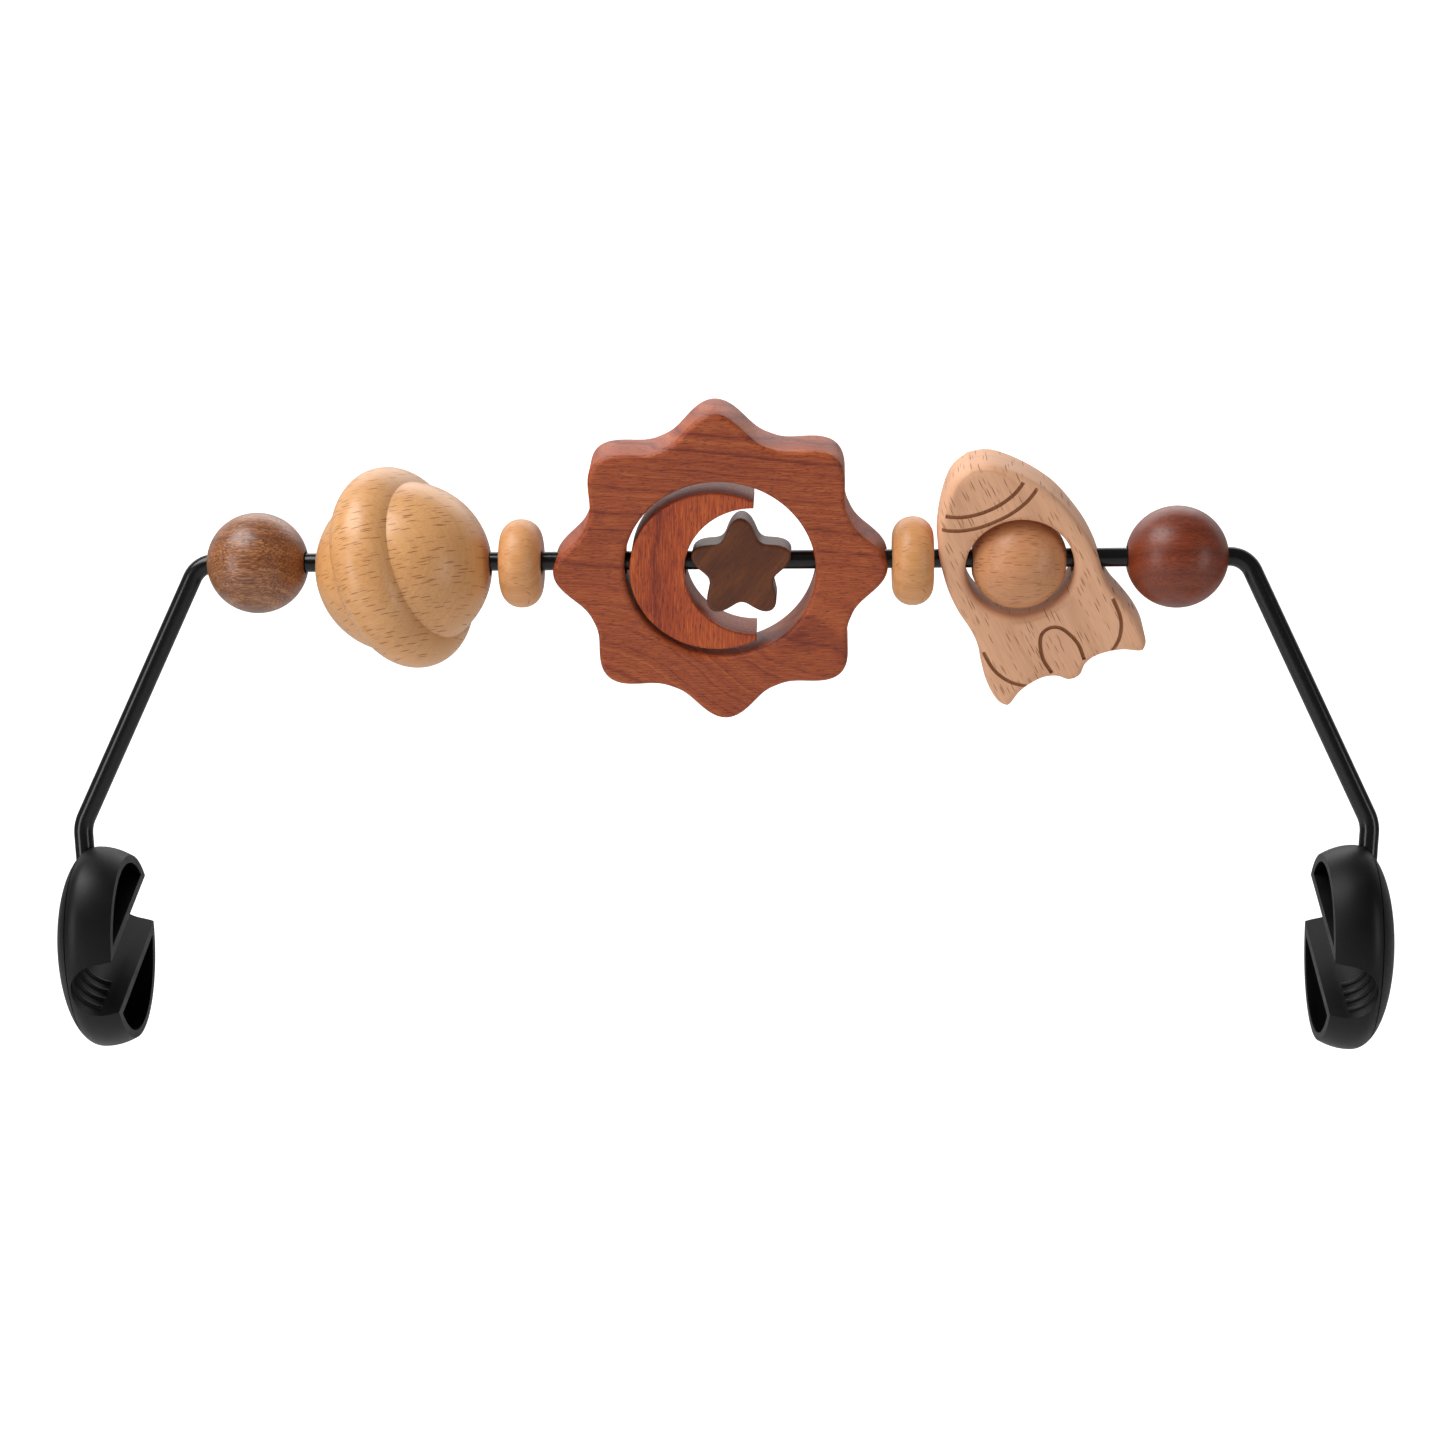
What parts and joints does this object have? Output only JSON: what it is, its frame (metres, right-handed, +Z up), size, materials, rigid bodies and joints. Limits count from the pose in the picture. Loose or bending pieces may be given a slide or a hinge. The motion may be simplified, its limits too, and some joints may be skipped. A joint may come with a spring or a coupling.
{
  "type": "bouncer toy bar",
  "caption": "Toy bar for a baby bouncer: wooden balls, rings, ringed planet, sun with moon and star, and rocket threaded on a black wire arch with a grip clamp at each end.",
  "frame": {"origin": "midway between the two clamps, on the line through the middle of their channels", "axes": "+X along the bar, to the right of someone in front of it; +Y away from them; +Z up"},
  "size_m": [0.4214, 0.062, 0.2044],
  "materials": {
    "coated_steel": "glossy black coating on steel wire",
    "black_polymer": "satin black moulding",
    "walnut": "sanded and oiled, brown",
    "dark_walnut": "sanded and oiled, dark grey-brown",
    "beech": "sanded and oiled, tan with dark flecks",
    "steamed_beech": "sanded and oiled, pinkish, with burnt lines",
    "mahogany": "sanded and oiled, red-brown",
    "red_mahogany": "sanded and oiled, red-orange"
  },
  "bodies": {
    "arch": {"wire_arch": "coated_steel", "left_clamp": "black_polymer", "right_clamp": "black_polymer"},
    "left_ball": {"left_ball": "walnut"},
    "planet": {"planet": "beech"},
    "left_ring_bead": {"left_ring_bead": "beech"},
    "sun": {"sun": "mahogany"},
    "moon": {"moon": "red_mahogany"},
    "star": {"star": "dark_walnut"},
    "right_ring_bead": {"right_ring_bead": "beech"},
    "rocket": {"rocket": "steamed_beech"},
    "porthole_ball": {"porthole_ball": "beech"},
    "right_ball": {"right_ball": "mahogany"}
  },
  "joints": [
    {"name": "left_ball_slide", "type": "slide", "parent": "arch", "child": "left_ball", "axis": [1, 0, 0], "range_m": [0, 0.0033]},
    {"name": "planet_turn", "type": "hinge", "parent": "arch", "child": "planet", "pos_m": [-0.0996, 0, 0.1223], "axis": [1, 0, 0], "continuous": true},
    {"name": "left_ring_slide", "type": "slide", "parent": "arch", "child": "left_ring_bead", "axis": [1, 0, 0], "range_m": [-0.003, 0.0037]},
    {"name": "sun_turn", "type": "hinge", "parent": "arch", "child": "sun", "pos_m": [0.0011, 0, 0.1223], "axis": [1, 0, 0], "continuous": true},
    {"name": "moon_turn", "type": "hinge", "parent": "arch", "child": "moon", "pos_m": [-0.0004, 0, 0.1223], "axis": [1, 0, 0], "continuous": true},
    {"name": "star_turn", "type": "hinge", "parent": "arch", "child": "star", "pos_m": [0.0078, 0, 0.1223], "axis": [1, 0, 0], "continuous": true},
    {"name": "right_ring_slide", "type": "slide", "parent": "arch", "child": "right_ring_bead", "axis": [1, 0, 0], "range_m": [-0.0011, 0.0007]},
    {"name": "rocket_turn", "type": "hinge", "parent": "arch", "child": "rocket", "pos_m": [0.0948, 0, 0.1223], "axis": [1, 0, 0], "continuous": true},
    {"name": "porthole_ball_turn", "type": "hinge", "parent": "arch", "child": "porthole_ball", "pos_m": [0.0948, 0, 0.1223], "axis": [1, 0, 0], "continuous": true},
    {"name": "right_ball_slide", "type": "slide", "parent": "arch", "child": "right_ball", "axis": [1, 0, 0], "range_m": [-0.0035, 0.002]}
  ]
}
